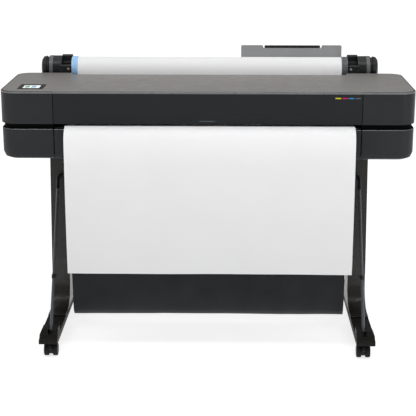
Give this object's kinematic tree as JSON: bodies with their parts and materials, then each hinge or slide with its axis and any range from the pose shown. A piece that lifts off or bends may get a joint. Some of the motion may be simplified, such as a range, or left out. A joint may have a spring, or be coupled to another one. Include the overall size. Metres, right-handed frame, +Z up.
{
  "type": "large format plotter",
  "caption": "Large format inkjet plotter on a wheeled stand, with a paper roll, a sheet tray, a hinged front cover and a fabric print bin.",
  "frame": {"origin": "on the floor, under the centre of the whole machine's box", "axes": "+X to the right as seen from the front, +Y from the front to the back, +Z up"},
  "size_m": [1.317, 0.605, 0.932],
  "materials": {
    "housing": "satin moulded, dark grey",
    "cover": "satin moulded, near black",
    "panel": "fine texture, warm grey",
    "black_plastic": "moulded, black",
    "painted_steel": "powder coat, warm dark grey",
    "zinc_steel": "folded and plated",
    "aluminium_rail": "extruded",
    "frame_tube": "satin grey paint",
    "rubber": "matte",
    "paper": "coated bond",
    "bin_cloth": "black woven polyester",
    "blue_plastic": "light blue, moulded",
    "tray_plastic": "mid grey",
    "screen_glass": "dark bezel with a lit screen",
    "ink_yellow": "moulded",
    "ink_magenta": "moulded",
    "ink_cyan": "moulded"
  },
  "bodies": {
    "printer_and_stand": {"chassis": "zinc_steel", "lower_front": "housing", "lower_cap_left": "housing", "lower_cap_right": "housing", "gap_trim_left": "black_plastic", "gap_trim_right": "black_plastic", "upper_cap_left": "housing", "upper_cap_right": "housing", "top_panel": "panel", "control_panel": "screen_glass", "rear_cover": "housing", "platen": "black_plastic", "feed_motor": "zinc_steel", "feed_belt": "rubber", "carriage_rail": "aluminium_rail", "carriage_belt": "rubber", "service_station": "black_plastic", "ink_cartridge_yellow": "ink_yellow", "ink_cartridge_magenta": "ink_magenta", "ink_cartridge_cyan": "ink_cyan", "ink_cartridge_black": "black_plastic", "paper_sheet": "paper", "roll_holder_left": "black_plastic", "roll_holder_right": "black_plastic", "rear_guide": "black_plastic", "tray_panel": "tray_plastic", "power_inlet": "black_plastic", "leg_left": "painted_steel", "leg_right": "painted_steel", "foot_left": "painted_steel", "foot_right": "painted_steel", "cross_brace": "painted_steel", "bin_rear_bar": "frame_tube", "bin_fabric": "bin_cloth"},
    "cover": {"front_cover": "cover"},
    "carriage": {"print_carriage": "black_plastic"},
    "drive_roller": {"feed_roller": "rubber"},
    "pinch_shaft": {"pinch_rollers": "rubber"},
    "motor_drive": {"motor_pulley": "zinc_steel"},
    "roll": {"spindle_rod": "black_plastic", "hub_left": "blue_plastic", "hub_right": "black_plastic", "paper_roll": "paper"},
    "extension": {"tray_extension": "black_plastic"},
    "switch": {"power_switch": "black_plastic"},
    "bin_frame": {"bin_tube_left": "frame_tube", "bin_tube_right": "frame_tube", "bin_corner_left": "frame_tube", "bin_corner_right": "frame_tube", "bin_top_bar": "frame_tube"},
    "caster_front_left": {"caster_fork_front_left": "black_plastic"},
    "wheels_front_left": {"caster_wheels_front_left": "rubber"},
    "brake_left": {"brake_lever_left": "black_plastic"},
    "caster_front_right": {"caster_fork_front_right": "black_plastic"},
    "wheels_front_right": {"caster_wheels_front_right": "rubber"},
    "brake_right": {"brake_lever_right": "black_plastic"},
    "caster_rear_left": {"caster_fork_rear_left": "black_plastic"},
    "wheels_rear_left": {"caster_wheels_rear_left": "rubber"},
    "caster_rear_right": {"caster_fork_rear_right": "black_plastic"},
    "wheels_rear_right": {"caster_wheels_rear_right": "rubber"}
  },
  "joints": [
    {"name": "cover_lift", "type": "hinge", "parent": "printer_and_stand", "child": "cover", "pos_m": [0, -0.1763, 0.843], "axis": [-1, 0, 0], "range_deg": [0, 88]},
    {"name": "carriage_travel", "type": "slide", "parent": "printer_and_stand", "child": "carriage", "axis": [-1, 0, 0], "range_m": [0, 1.1]},
    {"name": "feed_roller_spin", "type": "hinge", "parent": "printer_and_stand", "child": "drive_roller", "pos_m": [0, 0.026, 0.719], "axis": [1, 0, 0], "continuous": true},
    {"name": "pinch_spin", "type": "hinge", "parent": "printer_and_stand", "child": "pinch_shaft", "pos_m": [0, 0.026, 0.7382], "axis": [1, 0, 0], "continuous": true},
    {"name": "motor_spin", "type": "hinge", "parent": "printer_and_stand", "child": "motor_drive", "pos_m": [-0.6, -0.0305, 0.682], "axis": [1, 0, 0], "continuous": true},
    {"name": "roll_spin", "type": "hinge", "parent": "printer_and_stand", "child": "roll", "pos_m": [0, 0.2543, 0.856], "axis": [1, 0, 0], "continuous": true},
    {"name": "tray_extension_slide", "type": "slide", "parent": "printer_and_stand", "child": "extension", "axis": [0, 0, 1], "range_m": [0, 0.04]},
    {"name": "switch_rock", "type": "hinge", "parent": "printer_and_stand", "child": "switch", "pos_m": [0.608, 0.2055, 0.675], "axis": [1, 0, 0], "range_deg": [0, 14]},
    {"name": "bin_frame_swing", "type": "hinge", "parent": "printer_and_stand", "child": "bin_frame", "pos_m": [0, -0.2605, 0.083], "axis": [1, 0, 0], "range_deg": [0, 25]},
    {"name": "caster_swivel_front_left", "type": "hinge", "parent": "printer_and_stand", "child": "caster_front_left", "pos_m": [-0.505, -0.262, 0.046], "axis": [0, 0, 1], "continuous": true},
    {"name": "wheel_spin_front_left", "type": "hinge", "parent": "caster_front_left", "child": "wheels_front_left", "pos_m": [-0.505, -0.276, 0.021], "axis": [1, 0, 0], "continuous": true},
    {"name": "brake_press_left", "type": "hinge", "parent": "caster_front_left", "child": "brake_left", "pos_m": [-0.505, -0.2925, 0.0375], "axis": [1, 0, 0], "range_deg": [0, 15]},
    {"name": "caster_swivel_front_right", "type": "hinge", "parent": "printer_and_stand", "child": "caster_front_right", "pos_m": [0.505, -0.262, 0.046], "axis": [0, 0, 1], "continuous": true},
    {"name": "wheel_spin_front_right", "type": "hinge", "parent": "caster_front_right", "child": "wheels_front_right", "pos_m": [0.505, -0.276, 0.021], "axis": [1, 0, 0], "continuous": true},
    {"name": "brake_press_right", "type": "hinge", "parent": "caster_front_right", "child": "brake_right", "pos_m": [0.505, -0.2925, 0.0375], "axis": [1, 0, 0], "range_deg": [0, 15]},
    {"name": "caster_swivel_rear_left", "type": "hinge", "parent": "printer_and_stand", "child": "caster_rear_left", "pos_m": [-0.505, 0.2635, 0.046], "axis": [0, 0, 1], "continuous": true},
    {"name": "wheel_spin_rear_left", "type": "hinge", "parent": "caster_rear_left", "child": "wheels_rear_left", "pos_m": [-0.505, 0.2775, 0.021], "axis": [1, 0, 0], "continuous": true},
    {"name": "caster_swivel_rear_right", "type": "hinge", "parent": "printer_and_stand", "child": "caster_rear_right", "pos_m": [0.505, 0.2635, 0.046], "axis": [0, 0, 1], "continuous": true},
    {"name": "wheel_spin_rear_right", "type": "hinge", "parent": "caster_rear_right", "child": "wheels_rear_right", "pos_m": [0.505, 0.2775, 0.021], "axis": [1, 0, 0], "continuous": true}
  ],
  "couplings": [
    {"joint": "pinch_spin", "follows": "feed_roller_spin", "ratio": -2},
    {"joint": "motor_spin", "follows": "feed_roller_spin", "ratio": 2}
  ]
}
